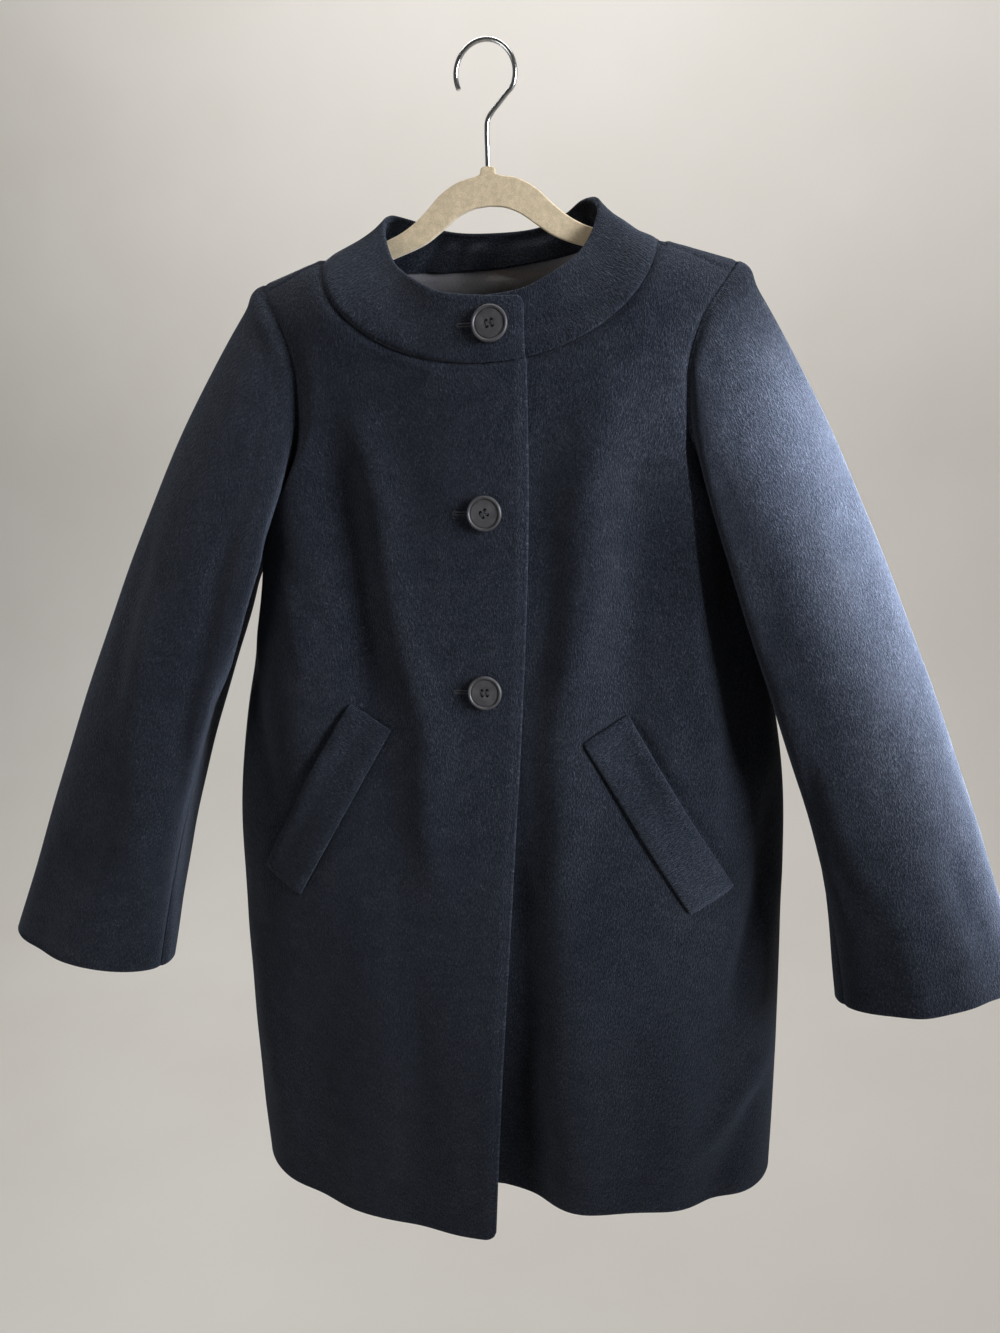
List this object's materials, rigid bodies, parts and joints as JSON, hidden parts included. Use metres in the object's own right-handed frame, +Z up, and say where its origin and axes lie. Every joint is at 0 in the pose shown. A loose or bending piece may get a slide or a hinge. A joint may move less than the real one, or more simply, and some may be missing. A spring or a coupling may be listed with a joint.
{
  "type": "cocoon coat on a hanger",
  "caption": "Thigh-length cocoon coat of dark wool with a round standing neck band, long wide sleeves and slanted pocket welts, buttoned up and hung on a slim flocked hanger by its hook.",
  "frame": {"origin": "inside top of the hook's bow, where a rod or a hand holds it", "axes": "+Z up, -Y out of the coat's front, +X towards the wearer's left"},
  "size_m": [0.9055, 0.2003, 1.0152],
  "materials": {
    "wool": "napped wool cloth, very dark navy",
    "lining": "taupe satin",
    "button": "dark horn look, half gloss",
    "flock": "beige velvet flock",
    "wire": "bright steel wire"
  },
  "bodies": {
    "root": {"front_right": "wool", "front_right_side": "wool", "front_left": "wool", "front_left_side": "wool", "back": "wool", "collar": "wool", "collar_facing": "wool", "sleeve_right": "wool", "sleeve_left": "wool", "welt_right": "wool", "welt_left": "wool", "back_lining": "lining", "button_top": "button", "button_middle": "button", "button_bottom": "button", "hanger_bar": "flock", "hanger_hook": "wire"}
  },
  "joints": []
}
